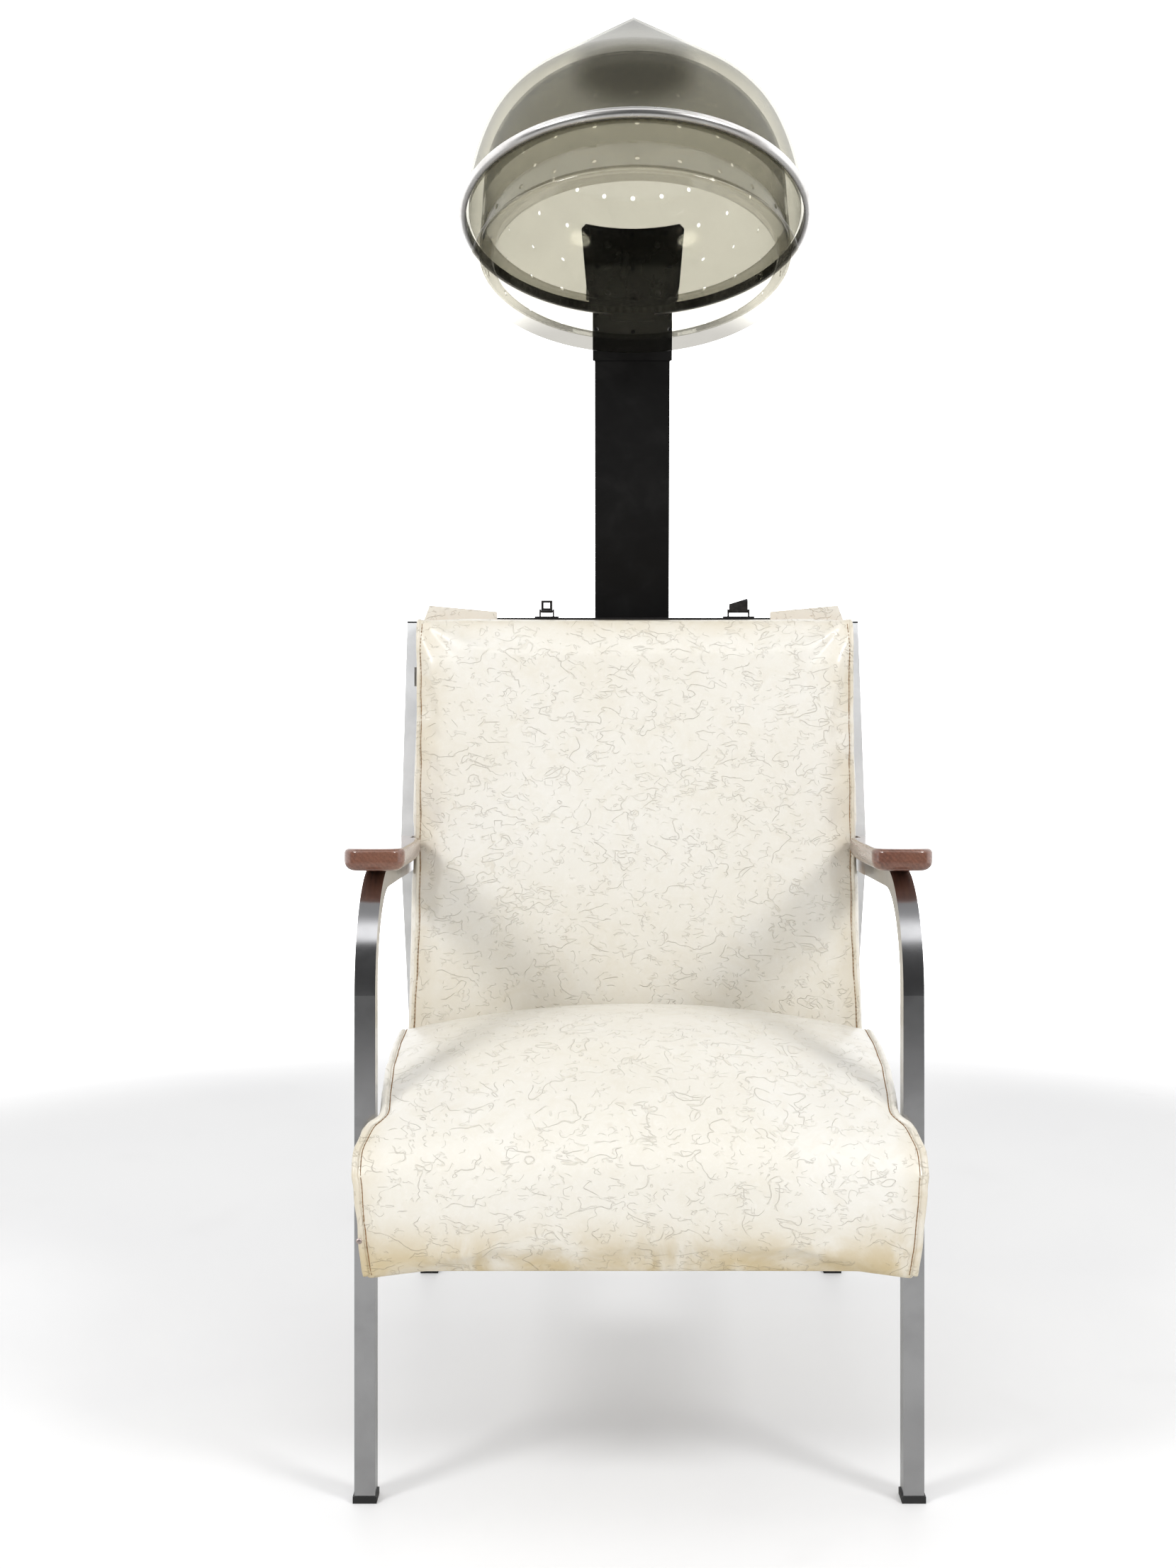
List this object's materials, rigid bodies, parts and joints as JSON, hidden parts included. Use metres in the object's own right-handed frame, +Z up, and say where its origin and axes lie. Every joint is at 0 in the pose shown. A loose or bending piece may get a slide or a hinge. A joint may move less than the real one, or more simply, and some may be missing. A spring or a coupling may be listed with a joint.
{
  "type": "salon hair dryer chair",
  "caption": "Salon dryer chair: square chrome tube frame with wooden armrests, padded vinyl seat and back, and a tilting clear hood on a sliding column behind the back.",
  "frame": {"origin": "on the floor, in the chair's mid-plane, midway between the seat's front edge and the back of the rear feet", "axes": "+Z up, +Y from the seat's front to the back, +X to the side that is on the right when the chair is seen from the front"},
  "size_m": [0.637, 0.8325, 1.7049],
  "materials": {
    "chrome_tube": "satin",
    "cream_vinyl": "gloss",
    "vinyl_board": "satin",
    "walnut": "satin",
    "softwood": "matte",
    "dust_cloth": "matte",
    "zinc_steel": "satin",
    "nickel_latch": "satin",
    "black_rubber": "matte",
    "black_plastic": "satin",
    "black_paint": "satin",
    "brushed_plate": "satin",
    "filter_foam": "matte",
    "grey_plastic": "satin",
    "motor_iron": "matte",
    "heater_wire": "satin",
    "smoke_plastic": "gloss",
    "clear_smoke_plastic": "gloss",
    "ring_metal": "satin"
  },
  "bodies": {
    "chair": {"armrest_left": "walnut", "armrest_right": "walnut", "back_cushion": "cream_vinyl", "back_frame": "softwood", "back_panel": "vinyl_board", "back_post_left": "chrome_tube", "back_post_right": "chrome_tube", "back_straps": "zinc_steel", "blower_housing": "black_paint", "blower_motor": "motor_iron", "blower_scroll": "grey_plastic", "column_guide": "black_plastic", "column_well": "black_paint", "control_plate": "brushed_plate", "cord_gland": "black_plastic", "frame_screws": "zinc_steel", "front_rail": "chrome_tube", "heater_box": "zinc_steel", "heating_elements": "heater_wire", "housing_lid": "black_paint", "housing_mounts": "zinc_steel", "intake_filter": "filter_foam", "intake_grille": "black_paint", "latch_bases": "nickel_latch", "leg_glides": "black_rubber", "motor_cradle": "zinc_steel", "post_caps": "black_plastic", "rear_rail": "chrome_tube", "seat_cross_rail": "chrome_tube", "seat_cushion": "cream_vinyl", "seat_dust_cover": "dust_cloth", "seat_frame": "softwood", "seat_side_rails": "chrome_tube", "seat_springs": "zinc_steel", "side_frame_left": "chrome_tube", "side_frame_right": "chrome_tube", "switch_bezel": "black_plastic", "terminal_block": "black_plastic", "thermostat": "zinc_steel", "timer_body": "black_plastic"},
    "column": {"column": "black_paint", "column_head": "black_paint", "tilt_pin": "zinc_steel", "friction_washers": "grey_plastic"},
    "hood": {"hood_neck": "black_paint", "air_deflector": "black_plastic", "hood_outer_shell": "smoke_plastic", "hood_inner_shell": "clear_smoke_plastic", "plenum_ring": "clear_smoke_plastic", "hood_rim": "clear_smoke_plastic", "trim_ring": "ring_metal", "ring_joiner": "zinc_steel", "hood_screws": "zinc_steel"},
    "blower_rotor": {"motor_shaft": "zinc_steel", "blower_wheel": "grey_plastic"},
    "timer_dial": {"timer_knob": "black_plastic"},
    "power_rocker": {"switch_rocker": "black_plastic"},
    "height_clamp": {"clamp_knob": "black_plastic"},
    "hasp_plate": {"hasp": "nickel_latch"},
    "lever_latch": {"latch_lever": "nickel_latch"}
  },
  "joints": [
    {"name": "hood_height", "type": "slide", "parent": "chair", "child": "column", "axis": [0, -0.1219, 0.9925], "range_m": [-0.06, 0.12]},
    {"name": "hood_tilt", "type": "hinge", "parent": "column", "child": "hood", "pos_m": [0, 0.24495, 1.376], "axis": [-1, 0, 0], "range_deg": [-10, 40]},
    {"name": "blower_spin", "type": "hinge", "parent": "chair", "child": "blower_rotor", "pos_m": [-0.168, 0.31995, 0.8], "axis": [0, 1, 0], "continuous": true},
    {"name": "timer_turn", "type": "hinge", "parent": "chair", "child": "timer_dial", "pos_m": [0.14, 0.36595, 0.85], "axis": [0, -1, 0], "range_deg": [0, 300]},
    {"name": "switch_rock", "type": "hinge", "parent": "chair", "child": "power_rocker", "pos_m": [0.205, 0.35845, 0.85], "axis": [-1, 0, 0], "range_deg": [0, 16]},
    {"name": "clamp_turn", "type": "hinge", "parent": "chair", "child": "height_clamp", "pos_m": [0, 0.36195, 0.918], "axis": [0, 1, 0], "range_deg": [-180, 180]},
    {"name": "hasp_swing", "type": "hinge", "parent": "chair", "child": "hasp_plate", "pos_m": [-0.112, 0.12595, 0.9436], "axis": [1, 0, 0], "range_deg": [-88, 88]},
    {"name": "latch_lever_swing", "type": "hinge", "parent": "chair", "child": "lever_latch", "pos_m": [0.136, 0.12595, 0.9436], "axis": [1, 0, 0], "range_deg": [-75, 75]}
  ]
}
